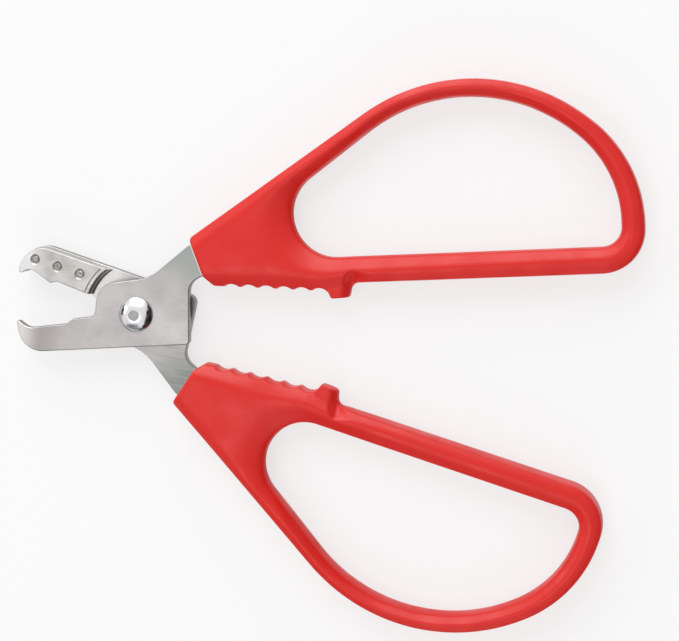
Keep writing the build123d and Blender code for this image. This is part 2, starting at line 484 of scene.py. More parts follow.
def cells(size: float) -> float:
    """Give the noise scale whose cells are this many millimetres across."""
    return 1 / (size * MM)


# Most of a noise pattern's values lie between these.
NOISE_RANGE = (0.3, 0.7)


@dataclass(frozen=True)
class Finish:
    """What the finishes share: two tones that mix in clouds, a roughness that noise shifts by
    a spread, and fine noise as relief.
    """

    name: str
    colour: str
    cloud_colour: str
    roughness: float
    roughness_spread: float

    def begin(
        self, *patterns: tuple[float, ...]
    ) -> tuple[bpy.types.Material, bpy.types.NodeTree, Socket, list[Socket]]:
        """Start the material with its noise patterns on object coordinates.

        Args:
            patterns: cell size in millimetres and detail of each, and the three factors of
                the coordinates where it is drawn out.

        Returns:
            The material, its tree, the place on the piece and each pattern's value.
        """
        material, tree = new_material(self.name)
        place = add_node(tree, "ShaderNodeTexCoord").outputs["Object"]
        values = []
        for size, detail, *factors in patterns:
            drawn = place
            if factors:
                drawn = add_node(
                    tree, "ShaderNodeMapping", {"Scale": factors}, {"Vector": place}
                ).outputs["Vector"]
            values.append(add_node(
                tree, "ShaderNodeTexNoise", {"Scale": cells(size), "Detail": detail},
                {"Vector": drawn},
            ).outputs["Fac"])
        return material, tree, place, values

    def join(
        self, tree: bpy.types.NodeTree, layers: list[tuple[Socket, str]], varied: Socket,
        bumps: list[tuple[float, dict]], settings: dict,
    ) -> None:
        """Join the colours, the roughness and the relief to the shader.

        Each layer's colour covers what is below it by its share, and each bump lies on the
        one before. The roughness goes from one end of its spread to the other while the
        noise goes through NOISE_RANGE.

        Args:
            tree: the material's tree.
            layers: share and colour of each layer, from the lowest.
            varied: the noise that shifts the roughness.
            bumps: height in millimetres and sockets of each bump.
            settings: the shader's own values.
        """
        below = {}
        for share, code in layers:
            tone = add_node(
                tree, "ShaderNodeMixRGB",
                {"Color1": linear(self.colour), "Color2": linear(code)},
                {"Fac": share, **below},
            )
            below = {"Color1": tone.outputs["Color"]}
        rough = add_node(
            tree, "ShaderNodeMapRange",
            {
                "From Min": NOISE_RANGE[0], "From Max": NOISE_RANGE[1],
                "To Min": self.roughness - self.roughness_spread,
                "To Max": self.roughness + self.roughness_spread,
            },
            {"Value": varied},
        ).outputs["Result"]
        relief = {}
        for height, links in bumps:
            bump = add_node(
                tree, "ShaderNodeBump", {"Distance": height * MM}, {**links, **relief}
            )
            relief = {"Normal": bump.outputs["Normal"]}
        shader = add_node(
            tree, "ShaderNodeBsdfPrincipled", settings,
            {"Base Color": below["Color1"], "Roughness": rough, **relief},
        )
        add_node(tree, "ShaderNodeOutputMaterial", None, {"Surface": shader.outputs["BSDF"]})


@dataclass(frozen=True)
class MouldedPolypropylene(Finish):
    """Injection-moulded polypropylene: one even colour with a satin skin, soft highlights,
    faint clouds of melt flow and a fine mould line round the edge.
    """

    name: str = "moulded_polypropylene"
    colour: str = "#E31C11"
    cloud_colour: str = "#D5160D"
    roughness: float = 0.39
    roughness_spread: float = 0.1
    ior: float = 1.49
    flow_size: float = 8.0
    # The mould's eroded grain is about 0.05 mm. It is drawn at 0.5 mm so that it shows.
    grain_size: float = 0.5
    grain_depth: float = 0.006
    seam_height: float = 0.05
    seam_width: float = 0.16

    def material(self) -> bpy.types.Material:
        """Build the plastic.

        The clouds mix two reds and shift the roughness. The mould line is a ridge whose
        height falls from 1 to 0 with the distance from the middle of the thickness.

        Returns:
            The material.
        """
        material, tree, place, (flow, grain) = self.begin(
            (self.flow_size, 3.0), (self.grain_size, 2.0)
        )
        height = add_node(tree, "ShaderNodeSeparateXYZ", None, {"Vector": place}).outputs["Z"]
        level = float(pivot_place()[2])
        away = add_node(
            tree, "ShaderNodeMath", {"operation": "SUBTRACT", 1: level}, {0: height}
        ).outputs[0]
        away = add_node(tree, "ShaderNodeMath", {"operation": "ABSOLUTE"}, {0: away}).outputs[0]
        ridge = add_node(
            tree, "ShaderNodeMapRange",
            {
                "interpolation_type": "SMOOTHSTEP", "From Min": self.seam_width * MM,
                "From Max": 0.0, "To Min": 0.0, "To Max": 1.0,
            },
            {"Value": away},
        ).outputs["Result"]
        bumps = [(self.grain_depth, {"Height": grain}), (self.seam_height, {"Height": ridge})]
        self.join(tree, [(flow, self.cloud_colour)], flow, bumps, {"IOR": self.ior})
        return material


@dataclass(frozen=True)
class PaintedTone:
    """A change of the steel's grey across a plane: painted shade where the levers' shadows and
    dark mirrored surroundings fall, painted light where they mirror bright ones, or a painted
    highlight line along an edge. It gives where it begins and ends, in millimetres from the
    pivot along a direction.
    """

    towards: tuple[float, float, float]
    begin: float
    end: float
    colour: str


@dataclass(frozen=True)
class SatinSteel(Finish):
    """Stamped stainless steel, tumbled to a satin skin: pale grey faces with soft clouds and a
    fine grain, and cut walls with upright shear marks, darker partly in the cut edge's own
    grey and partly as painted shade.
    """

    name: str
    colour: str = "#B1AEAD"
    cloud_colour: str = "#A19D9C"
    roughness: float = 0.36
    roughness_spread: float = 0.07
    # Painted shade and painted light laid over the grey across planes.
    painted_tones: tuple[PaintedTone, ...] = ()
    cloud_size: float = 9.0
    cloud_range: tuple[float, float] = (0.35, 0.65)
    # Tumbling scratches are a few hundredths of a millimetre wide. They are drawn at 0.35 mm.
    scratch_width: float = 0.35
    scratch_length: float = 5.0
    scratch_depth: float = 0.004
    # Grey of the upright walls: partly the cut edge's own, partly painted shade.
    wall_shade_colour: str = "#8E8C8A"
    wall_lean: tuple[float, float] = (0.5, 0.1)
    shear_width: float = 0.3
    shear_factor: float = 0.05
    shear_depth: float = 0.004

    def material(self) -> bpy.types.Material:
        """Build the steel.

        Clouds mix two greys. Scratches are noise drawn out along X, which shifts the
        roughness. The upright walls, where the faces' own normal leans down to level, are as
        cut, with shear marks that are noise drawn out along Z, and are darker: partly the cut
        edge's own grey, partly painted shade. A painted tone, which is painted shade or painted
        light, takes over from its beginning to its end along its direction t, by place . t.

        Returns:
            The material.
        """
        long_share = self.scratch_width / self.scratch_length
        material, tree, place, (cloud, scratch, shear) = self.begin(
            (self.cloud_size, 5.0), (self.scratch_width, 3.0, long_share, 1.0, 1.0),
            (self.shear_width, 2.0, 1.0, 1.0, self.shear_factor),
        )
        low, high = self.cloud_range
        cloud = add_node(
            tree, "ShaderNodeMapRange", {"From Min": low, "From Max": high}, {"Value": cloud}
        ).outputs["Result"]
        layers = [(cloud, self.cloud_colour)]
        # Each painted tone lays painted shade or painted light over the grey along its
        # direction.
        for painted_tone in self.painted_tones:
            start = float(pivot_place() @ painted_tone.towards)
            along = add_node(
                tree, "ShaderNodeVectorMath",
                {"operation": "DOT_PRODUCT", 1: painted_tone.towards}, {0: place},
            ).outputs["Value"]
            share = add_node(
                tree, "ShaderNodeMapRange",
                {
                    "interpolation_type": "SMOOTHSTEP",
                    "From Min": start + painted_tone.begin * MM, "From Max": start + painted_tone.end * MM,
                },
                {"Value": along},
            ).outputs["Result"]
            layers.append((share, painted_tone.colour))
        # The upright walls take their darker grey, partly the cut edge's own, partly painted
        # shade.
        facing = add_node(tree, "ShaderNodeNewGeometry").outputs["True Normal"]
        lean = add_node(tree, "ShaderNodeSeparateXYZ", None, {"Vector": facing}).outputs["Z"]
        lean = add_node(tree, "ShaderNodeMath", {"operation": "ABSOLUTE"}, {0: lean}).outputs[0]
        wall = add_node(
            tree, "ShaderNodeMapRange",
            {
                "From Min": self.wall_lean[0], "From Max": self.wall_lean[1],
                "To Min": 0.0, "To Max": 1.0,
            },
            {"Value": lean},
        ).outputs["Result"]
        layers.append((wall, self.wall_shade_colour))
        bumps = [
            (self.scratch_depth, {"Height": scratch}),
            (self.shear_depth, {"Height": shear, "Strength": wall}),
        ]
        self.join(tree, layers, scratch, bumps, {"Metallic": 1.0})
        return material


@dataclass(frozen=True)
class PolishedChrome(Finish):
    """Chromium plate on a polished washer: it mirrors the room, a little softened by fine
    polishing haze and a few tiny pits.
    """

    name: str = "polished_chromium_plate"
    colour: str = "#E4E4E6"
    cloud_colour: str = "#D2D2D4"
    roughness: float = 0.2
    roughness_spread: float = 0.07
    haze_size: float = 1.6
    wave_size: float = 1.8
    wave_depth: float = 0.13
    # Pits in the plate are under 0.05 mm. They are drawn at 0.25 mm.
    pit_size: float = 0.25
    pit_depth: float = 0.003

    def material(self) -> bpy.types.Material:
        """Build the chrome.

        Soft noise mixes two bright greys and shifts the roughness, and fine noise pits it.
        Wide noise waves the surface a little, so that the mirrored room has uneven edges.

        Returns:
            The material.
        """
        material, tree, _, (haze, pits, wave) = self.begin(
            (self.haze_size, 3.0), (self.pit_size, 2.0), (self.wave_size, 1.0)
        )
        bumps = [(self.pit_depth, {"Height": pits}), (self.wave_depth, {"Height": wave})]
        self.join(tree, [(haze, self.cloud_colour)], haze, bumps, {"Metallic": 1.0})
        return material


# The pliers

LOWER_JAW: Rows = (
    (-0.521, -0.248, 0.030),
    (-0.574, -0.356, 0.044),
    (-0.893, -0.534, 0.118),
    (-1.000, -0.393, 0.013),
    (-0.928, -1.000, 0.198),
    (0.456, -0.403, 0.036),
)
UPPER_JAW: Rows = (
    (-0.441, -0.248, 0.018),
    (-0.689, -0.386, 0.024),
    (-0.740, -0.339, 0.015),
    (-0.926, -0.570, 0.095),
    (-1.015, -0.410, 0.018),
    (-1.003, -1.080, 0.207),
    (0.456, -0.440, 0.070),
)


@dataclass
class MouldedHandle:
    """A handle with its grip loop, teeth and nub, moulded round a lever's tang."""

    lever: Lever
    node: str
    finish: bpy.types.Material
    reach: float = 131.0
    rise: float = 83.1
    body_reach: float = 13.6
    body_rise: float = 20.4
    loop_shares: Rows = (
        (0.378, 0.1565, 0.025),
        (0.441, 0.1975, 0.025),
        (1.000, 0.350, 0.084),
        (0.9626, 0.686, 0.267),
        (0.6183, 1.000, 0.370),
    )
    root_shares: Rows = ((0.904, 1.093, 0.090), (1.272, 0.618, 0.070), (1.493, 0.507, 0.060))
    hole_end_radius: float = 11.3
    hole_radius_shares: tuple[float, ...] = (0.038, 0.229, 0.328)
    # Walls at the start and end of the bar, the far end, the arch and the strip.
    walls: Rows = ((6.8, 6.8), (5.9, 5.9), (5.1, 5.1), (2.8, 8.6))
    nub_corners: Rows = (
        (50.95, 13.12, 0.5), (52.06, 11.33, 0.9), (56.73, 12.33, 1.0), (57.00, 16.20, 2.2),
    )
    first_tooth: float = 2.7
    gap_count: int = 6
    tooth_pitch: float = 4.75
    gap_chord: float = 4.1
    gap_depth: float = 0.75
    gap_blend: float = 0.12
    # Steps along the sides and round the arcs of the outer edge, the hole and the skirt.
    side_steps: tuple[float, ...] = (1.6, 1.6, 1.6, 1.6, 0.5, 0.5, 0.22, 0.35, 0.35, 0.35)
    arc_step: float = 0.9
    hole_steps: tuple[float, float] = (1.5, 0.4)
    skirt_steps: tuple[float, float] = (2.0, 0.5)
    skirt_tail: float = 14.0
    skirt_radius: float = 0.5
    half_height: float = 4.5
    flank_curve: float = 0.4
    edge_radius: float = 0.45
    tooth_radius: float = 0.35
    front_radius: float = 0.4
    radius_bell: int = 9
    front_edge: float = 3.4
    front_slope: float = 0.8
    front_blend: float = 0.3
    crest_blend: float = 0.6
    hole_blend: float = 0.15
    hole_blend_share: float = 0.13
    nub_height: float = 3.0
    nub_blend: float = 0.9
    # The plateau rises and falls between these x, and fades between these gaps to the skirt.
    nub_rise: tuple[float, float] = (46.5, 51.6)
    nub_fall: tuple[float, float] = (57.0, 60.0)
    nub_fade: tuple[float, float] = (2.0, 5.0)
    nub_edge: float = 1.3
    nub_slope: float = 2.8
    nub_slope_blend: float = 0.8
    nub_hollow: float = 1.0
    nub_hollow_rise: float = 2.0
    outline_slack: float = 0.01
    # Rows of x, y and what the field's name says. The inner ones give width, then edge.
    outer_widths: Rows = (
        (8.0, 9.4, 3.6), (20.3, 10.4, 3.9), (25.0, 10.8, 4.3), (31.0, 11.3, 4.7),
        (37.0, 11.9, 5.1), (43.0, 12.4, 5.1), (50.0, 13.4, 4.5), (57.8, 16.4, 3.1),
        (66.0, 17.8, 2.8), (118.0, 26.8, 3.3), (131.0, 40.0, 2.8), (112.0, 72.0, 2.3),
        (81.0, 79.0, 2.15), (50.0, 57.0, 2.4), (25.0, 34.0, 2.9), (8.0, 18.5, 2.9),
    )
    outer_edges: Rows = (
        (8.0, 9.4, 1.9), (43.0, 12.4, 1.9), (57.8, 16.4, 2.3), (70.0, 18.5, 2.9),
        (118.0, 26.8, 3.1), (131.0, 40.0, 3.3), (112.0, 72.0, 3.3), (81.0, 79.0, 3.2),
        (50.0, 57.0, 2.9), (25.0, 34.0, 2.5), (8.0, 18.5, 2.5),
    )
    inner_widths_and_edges: Rows = (
        (110.0, 33.0, 3.2, 2.2), (66.0, 24.9, 3.6, 1.9), (50.0, 22.0, 4.6, 1.5),
        (41.5, 21.0, 7.4, 1.1), (37.5, 22.5, 8.0, 0.9), (34.5, 26.0, 8.2, 0.8),
        (33.0, 31.0, 7.9, 0.8), (34.0, 36.0, 6.2, 0.9), (37.9, 40.3, 3.7, 1.1),
        (46.0, 48.0, 2.5, 1.4), (80.0, 69.0, 2.3, 1.8), (112.0, 62.0, 2.5, 2.0),
        (124.0, 40.0, 2.7, 2.2),
    )
    flat_rows: int = 44
    edge_rows: int = 6
    least_slant: float = 0.4
    most_near: float = 0.4

    def build(self) -> None:
        """Build the handle and dress it."""
        name = f"{self.node}_moulding"
        add_piece(name, self.surface(), self.lever, self.node, self.finish)

    @cached_property
    def loop(self) -> Array:
        """Corners of the loop."""
        return scaled(self.loop_shares, self.reach, self.rise)

    @cached_property
    def root(self) -> Array:
        """Corners of the root."""
        return scaled(self.root_shares, self.body_reach, self.body_rise)

    @cached_property
    def hole(self) -> Array:
        """Edge of the grip hole.

        Its four sides are the bar, the far end, the arch and the strip, moved inwards by
        their walls.

        Returns:
            Points counter-clockwise round the hole.
        """
        loop, root = self.loop, self.root
        bar = loop[2, :2] - loop[1, :2]
        strip = root[0, :2] - loop[4, :2]
        share = cross(loop[4, :2] - loop[1, :2], strip) / cross(bar, strip)
        corners = loop[1:].copy()
        corners[0, :2] = loop[1, :2] + bar * share
        far = [share * self.reach for share in self.hole_radius_shares]
        radii = np.array([self.hole_end_radius] + far)
        inset = inset_corners(corners, np.array(self.walls), radii)
        return Outline(inset).samples(*self.hole_steps)[0]

    @cached_property
    def outer(self) -> tuple[Array, Array, Array]:
        """The handle's outer edge with its nub and teeth.

        The gaps between the teeth are arcs: sqrt(R^2 - (a - c)^2) - (R - depth), for the
        distance a along the line and c of the gap's middle, cut off below 0 by the smooth
        (d + sqrt(d^2 + blend^2)) / 2. A hair of slack keeps the edge inside the solid's.
        A bell over radius_bell points smooths the steps in the edge radius.

        Returns:
            Points, outward normals and the edge radius at each point.
        """
        nub = np.array(self.nub_corners)
        corners = np.vstack([nub[3:], self.loop[2:], self.root, nub[:3]])
        steps = np.array(self.side_steps)
        points, normals, marks = Outline(corners).samples(steps, self.arc_step)
        # The root starts with the arc of corner 4. The teeth are on the side after corner 6.
        front, teeth = 2 * 4, 2 * 6 + 1
        start, end = corners[6, :2], corners[7, :2]
        along = (points - start) @ unit(end - start)
        radius = (self.gap_chord**2 / 4 + self.gap_depth**2) / (2 * self.gap_depth)
        first = self.first_tooth + self.gap_chord / 2
        off = along[:, None] - (first + self.tooth_pitch * np.arange(self.gap_count))
        depth = np.sqrt(np.maximum(radius**2 - off**2, 0)) - (radius - self.gap_depth)
        depth = depth.max(1)
        depth = (depth + np.sqrt(depth**2 + self.gap_blend**2)) / 2
        inward = self.outline_slack + np.where(marks == teeth, depth, 0)
        points = points - inward[:, None] * normals
        rounding = np.full(len(points), self.edge_radius)
        rounding[marks >= front] = self.front_radius
        rounding[marks >= teeth] = self.tooth_radius
        bell, half = np.hanning(self.radius_bell), self.radius_bell // 2
        padded = np.concatenate([rounding[-half:], rounding, rounding[:half]])
        return points, normals, np.convolve(padded, bell / bell.sum(), mode="valid")

    @cached_property
    def skirt(self) -> Array:
        """The plain outer edge, without teeth or nub, as an open run.

        Returns:
            Points from past the far end of the line under the root to past the strip.
        """
        loop, root = self.loop, self.root
        before = root[2, :2] - self.skirt_tail * unit(loop[0, :2] - root[2, :2])
        after = root[0, :2] + self.skirt_tail * unit(root[0, :2] - loop[4, :2])
        ends = [[*after, self.skirt_radius], [*before, self.skirt_radius]]
        points = Outline(np.vstack([loop, ends])).samples(*self.skirt_steps)[0]
        first = np.linalg.norm(points - before, axis=1).argmin()
        points = np.roll(points, -first, axis=0)
        last = np.linalg.norm(points - after, axis=1).argmin()
        return np.vstack([before, points[:last], after])

    def flank(self, share: Array) -> Array:
        """Give a slope's height share at a share of its width.

        It is (1 - c) t + c sqrt(t (2 - t)), and goes on straight past the crest.
        """
        held = np.clip(share, 0, 1)
        straight = (1 - self.flank_curve) * np.clip(share, 0, 3)
        return straight + self.flank_curve * np.sqrt(held * (2 - held))

    def with_nub(self, form: Array, place: Array, skirt_gap: Array) -> Array:
        """Lay the nub's plateau over the handle, and slope its far side.

        The far side is held under a limit that falls from the plateau to the nub's edge
        towards its last corner. Past that corner, and inside the skirt, the limit rises
        again by sqrt(h^2 + d^2) - h, for the distance d from there and the hollow h.

        Args:
            form: half heights without the nub.
            place: rows of x and y.
            skirt_gap: distance inside the skirt.

        Returns:
            The half heights.
        """
        x, y = place.T
        corner_x, corner_y, _ = self.nub_corners[3]
        ramp = smooth_step(*self.nub_rise, x) * (1 - smooth_step(*self.nub_fall, x))
        ramp = ramp * (1 - smooth_step(*self.nub_fade, skirt_gap))
        form = higher_of(form, self.nub_height * ramp, self.nub_blend)
        fall = smooth_step(0.0, self.nub_slope, corner_x - x)
        limit = self.nub_edge + (self.nub_height - self.nub_edge) * fall
        off = np.stack([skirt_gap, x - corner_x, y - corner_y - self.nub_hollow_rise])
        away = (np.maximum(off, 0) ** 2).sum(axis=0)
        limit = limit + np.sqrt(self.nub_hollow**2 + away) - self.nub_hollow
        return lower_of(form, limit, self.nub_slope_blend)

    def height(
        self, place: Array, hole_gap: Array, hole_along: Array, rounding: Array
    ) -> Array:
        """Give the half height of the handle at places on it.

        The height is the lowest of the flat face and of the slopes that rise from the outer
        edge, from the hole and from the front end, with the nub laid over it. Near an edge
        of radius r the height is multiplied by sqrt(1 - (1 - d / r)^2).

        Args:
            place: rows of x and y.
            hole_gap: distance from the hole.
            hole_along: how far round the hole the nearest place on it is.
            rounding: edge radius of each place's nearest outer edge.

        Returns:
            The half heights.
        """
        skirt_gap, _, skirt_along = nearest_on(place, self.skirt, False)
        width = eased_along(self.outer_widths, self.skirt, False, skirt_along)[0]
        edge = eased_along(self.outer_edges, self.skirt, False, skirt_along)[0]
        lift = self.half_height - edge
        rise = edge + lift * self.flank(np.maximum(skirt_gap, 0) / width)
        form = lower_of(rise, np.full_like(rise, self.half_height), self.crest_blend)
        width, edge = eased_along(self.inner_widths_and_edges, self.hole, True, hole_along)
        rise = edge + (self.half_height - edge) * self.flank(hole_gap / width)
        form = lower_of(form, rise, self.hole_blend + self.hole_blend_share * width)
        lift = self.half_height - self.front_edge
        for start, end in zip(self.root[:2, :2], self.root[1:, :2]):
            gap = cross(np.broadcast_to(unit(end - start), place.shape), place - start)
            rise = self.front_edge + lift * self.flank(np.maximum(gap, 0) / self.front_slope)
            form = lower_of(form, rise, self.front_blend)
        form = self.with_nub(form, place, skirt_gap)
        outer_gap = np.abs(nearest_on(place, self.outer[0], True)[0])
        for gap, radius in ((outer_gap, rounding), (hole_gap, self.edge_radius)):
            held = np.clip(gap / radius, 0, 1)
            form = form * np.sqrt(1 - (1 - held) ** 2)
        return form

    def surface(self) -> Shell:
        """Lay a grid over both faces of the handle, from the outer edge to the hole.

        Column k starts at point k of the outer edge and runs straight to the nearest place
        on the hole's edge. Along it the rows lie close together at the two rounded edges,
        at r (1 - cos a), and evenly between them. The outer ones widen where the column
        leaves the edge at a slant, up to a share of its length. The lower face mirrors the
        upper.

        Returns:
            The shell.
        """
        outer, normals, rounding = self.outer
        length, ends, along = nearest_on(outer, self.hole, True)
        length = np.abs(length)
        course = (ends - outer) / length[:, None]
        slant = np.clip(-(normals * course).sum(1), self.least_slant, 1)
        angle = np.linspace(0, np.pi / 2, self.edge_rows)[1:]
        close = 1 - np.cos(angle)
        near = close[:, None] * np.minimum(rounding / slant, self.most_near * length)
        far = length - close[::-1, None] * self.edge_radius
        share = np.linspace(0, 1, self.flat_rows + 2)[1:-1, None]
        middle = near[-1] + share * (far[0] - near[-1])
        rows = np.concatenate([near, middle, far])
        place = outer[None] + rows[..., None] * course[None]
        repeat = np.broadcast_to(along, rows.shape).reshape(-1)
        radius = np.broadcast_to(rounding, rows.shape).reshape(-1)
        gap = (length - rows).reshape(-1)
        high = self.height(place.reshape(-1, 2), gap, repeat, radius).reshape(rows.shape)
        top = np.concatenate([place, high[..., None]], axis=2)
        under = np.concatenate([place, -high[..., None]], axis=2)[::-1]
        rim = np.column_stack([outer, np.zeros(len(outer))])[None]
        brink = np.column_stack([ends, np.zeros(len(ends))])[None]
        grid = np.concatenate([rim, top, brink, under])
        return grid.reshape(-1, 3), ring_faces(len(grid), grid.shape[1], closed=True)


@dataclass
class StampedLever:
    """A stamped steel lever: jaw, boss round the pivot, arm and the tang in the handle."""

    lever: Lever
    node: str
    finish: bpy.types.Material
    jaw_shares: Rows
    jaw_reach: float = 33.8
    jaw_depth: float = 14.9
    body_reach: float = 13.6
    body_rise: float = 20.4
    waist_shares: Rows = ((1.000, 0.510, 0.295), (1.430, 0.700, 0.220))
    shoulder_shares: Rows = (
        (0.926, 1.000, 0.295),
        (0.191, 0.500, 0.880),
        (-0.853, 0.324, 0.430),
        (-0.853, -0.105, 0.145),
    )
    tang_end: tuple[float, float] = (24.3, 21.6)
    tang_half_width: float = 3.2
    tang_radius: float = 2.4
    low: float = 0.05
    thickness: float = 2.5
    edge_radius: float = 0.15
    outline_steps: tuple[float, float] = (0.9, 0.14)
    face_inset: float = 0.1

    def outline(self) -> Outline:
        """Give the whole outline, jaw first, with the tang running to its end.

        Returns:
            The outline.
        """
        jaw = scaled(self.jaw_shares, self.jaw_reach, self.jaw_depth)
        waist = scaled(self.waist_shares, self.body_reach, self.body_rise)
        shoulder = scaled(self.shoulder_shares, self.body_reach, self.body_rise)
        start = (waist[-1, :2] + shoulder[0, :2]) / 2
        end = np.array(self.tang_end)
        ahead = unit(end - start)
        across = np.array([ahead[1], -ahead[0]]) * self.tang_half_width
        tang = [[*(end + across), self.tang_radius], [*(end - across), self.tang_radius]]
        return Outline(np.vstack([jaw, waist, tang, shoulder]))

    def build(self) -> None:
        """Build the lever and dress it.

        The outline goes up a profile with a rounded edge below and above the cut wall.
        """
        points, normals, _ = self.outline().samples(*self.outline_steps)
        edge = quarter(self.edge_radius)
        flat = [[self.edge_radius + self.face_inset, 0.0]]
        below = np.vstack([flat, edge[::-1]]) + [0, self.low]
        above = np.vstack([edge, flat]) * [1, -1] + [0, self.low + self.thickness]
        shell = capped(outline_rings(points, normals, np.vstack([below, above])))
        name = f"{self.node}_stamping"
        add_piece(name, shell, self.lever, self.node, self.finish)


@dataclass
class JawPlate:
    """The plate on the upper jaw with its curved sloping end, and its three rivets."""

    finish: bpy.types.Material
    rivet_finish: bpy.types.Material
    jaw_shares: Rows
    jaw_reach: float = 33.8
    jaw_depth: float = 14.9
    back_share: float = 0.56
    end_corner: tuple[float, float, float] = (-0.260, -0.200, 0.040)
    inset: float = 0.45
    low: float = -2.45
    high: float = 0.05
    edge_radius: float = 0.33
    edge_rings: int = 6
    outline_steps: tuple[float, float] = (0.3, 0.12)
    # Insets of the outermost and innermost of the rings on the face, from the rounded edge.
    face_insets: tuple[float, float] = (0.14, 0.02)
    face_rings: int = 11
    # The small bevel at the back: rows of inset, and of height from the back.
    back_steps: Rows = ((0.03, -0.03), (0.1, 0.0), (0.25, 0.0))
    back_bevel: float = 0.1
    end_radius: float = 13.69
    # From the face to the back: how far outside the end's circle, and how deep.
    end_steps: Rows = (
        (2.40, 0.0), (2.22, 0.0), (2.12, 0.02), (2.02, 0.07), (1.92, 0.14), (1.84, 0.20),
        (1.78, 0.21), (1.70, 0.18), (1.60, 0.11), (1.50, 0.05), (1.38, 0.01), (1.22, 0.0),
        (1.06, 0.02), (0.92, 0.08), (0.79, 0.17), (0.68, 0.29), (0.60, 0.45), (0.52, 0.75),
        (0.43, 1.15), (0.33, 1.60), (0.20, 2.00), (0.07, 2.30), (0.0, 2.42), (0.08, 2.5),
        (0.25, 2.5),
    )
    end_blend: float = 0.3
    path_points: int = 520
    arc_points: int = 72
    rivet_ends: Rows = ((-0.501, -0.579), (-0.883, -0.728))
    rivet_count: int = 3
    recess_radius: float = 1.45
    # A rounded lip, a steep wall and a flat floor: rows from the recess's radius and the face.
    recess_steps: Rows = (
        (0.14, 0.0), (0.06, 0.01), (-0.01, 0.04), (-0.12, 0.11), (-0.26, 0.21),
        (-0.34, 0.26), (-0.40, 0.3),
    )
    recess_points: int = 48
    # Rows of radius and height, from the face and then from the back of the blade.
    rivet_end_steps: Rows = (
        (0.15, 0.12), (0.55, 0.13), (0.8, 0.17), (0.93, 0.25), (1.0, 0.38),
    )
    rivet_foot_steps: Rows = (
        (1.0, -0.5), (1.5, -0.06), (1.5, -0.01), (1.47, 0.02), (0.4, 0.02),
    )
    rivet_points: int = 40
    blade_high: float = 2.55

    def outline(self) -> Outline:
        """Give the plate's outline before its curved end is cut.

        Returns:
            The outline.
        """
        rows = np.vstack([self.jaw_shares, self.end_corner])
        corners = scaled(rows, self.jaw_reach, self.jaw_depth)
        nose, heel = corners[-3, :2], corners[-2, :2]
        corners[-2] = [*(nose + self.back_share * (heel - nose)), corners[-1, 2]]
        insets = np.zeros((len(corners), 2))
        insets[-3] = self.inset
        return Outline(inset_corners(corners, insets, corners[:, 2]))

    def cut_end(self, ring: Array, radius: float) -> Array:
        """Cut an outline along a circle round the pivot.

        What is outside the circle is walked in even steps, and the circle's arc closes it.

        Args:
            ring: points counter-clockwise.
            radius: radius of the circle.

        Returns:
            As many points whatever the radius.
        """
        away = np.hypot(ring[:, 0], ring[:, 1])
        inside = away < radius
        first = np.flatnonzero(~inside & np.roll(inside, 1))[0]
        ring, away = np.roll(ring, -first, axis=0), np.roll(away, -first)
        count = np.flatnonzero(away < radius)[0]
        ends = []
        for a, b in ((-1, 0), (count, count - 1)):
            share = (radius - away[a]) / (away[b] - away[a])
            ends.append(ring[a] + share * (ring[b] - ring[a]))
        path = np.vstack([ends[0], ring[:count], ends[1]])
        run = np.concatenate([[0], np.cumsum(np.linalg.norm(np.diff(path, axis=0), axis=1))])
        even = np.linspace(0, run[-1], self.path_points)
        path = np.column_stack([np.interp(even, run, path[:, k]) for k in (0, 1)])
        angle = np.unwrap([np.arctan2(*ends[1][::-1]), np.arctan2(*ends[0][::-1])])
        arc = np.linspace(angle[0], angle[1], self.arc_points)[1:-1]
        return np.vstack([path, radius * np.column_stack([np.cos(arc), np.sin(arc)])])

    def rivet_places(self) -> Array:
        """Give the middles of the rivets, evenly spaced.

        Returns:
            Rows of x and y.
        """
        ends = np.array(self.rivet_ends) * [self.jaw_reach, self.jaw_depth]
        share = np.linspace(0, 1, self.rivet_count)[:, None]
        return ends[0] + share * (ends[1] - ends[0])

    def plate_rings(self) -> Array:
        """Give the plate's wall from its face, which lies lowest in the drawing, to its back.

        Round the jaw it has a rounded edge and an upright wall. The end has a shallow groove,
        a rounded bead and a steep slope down to the wall, as end_steps gives them. The two
        sets of heights meet over end_blend beside the end.

        Returns:
            Points by ring, point and coordinate.
        """
        points, normals, _ = self.outline().samples(*self.outline_steps)
        deep = self.high - self.low
        insets = np.linspace(*self.face_insets, self.face_rings) + self.edge_radius
        flat = np.column_stack([insets, np.zeros(self.face_rings)])
        edge = quarter(self.edge_radius, self.edge_rings)[::-1]
        back = np.array(self.back_steps) + [0, deep]
        count = len(self.end_steps) - len(flat) - len(edge) - len(back)
        wall = np.linspace(self.edge_radius, deep - self.back_bevel, count + 1)[1:]
        wall = np.column_stack([np.zeros(count), wall])
        rings = []
        for (inset, depth), (out, end_depth) in zip(
            np.vstack([flat, edge, wall, back]), self.end_steps
        ):
            ring = self.cut_end(points - inset * normals, self.end_radius + out)
            away = np.hypot(ring[:, 0], ring[:, 1]) - self.end_radius - out
            share = 1 - smooth_step(0, self.end_blend, away)
            height = self.low + depth + share * (end_depth - depth)
            rings.append(np.column_stack([ring, height]))
        return np.stack(rings)

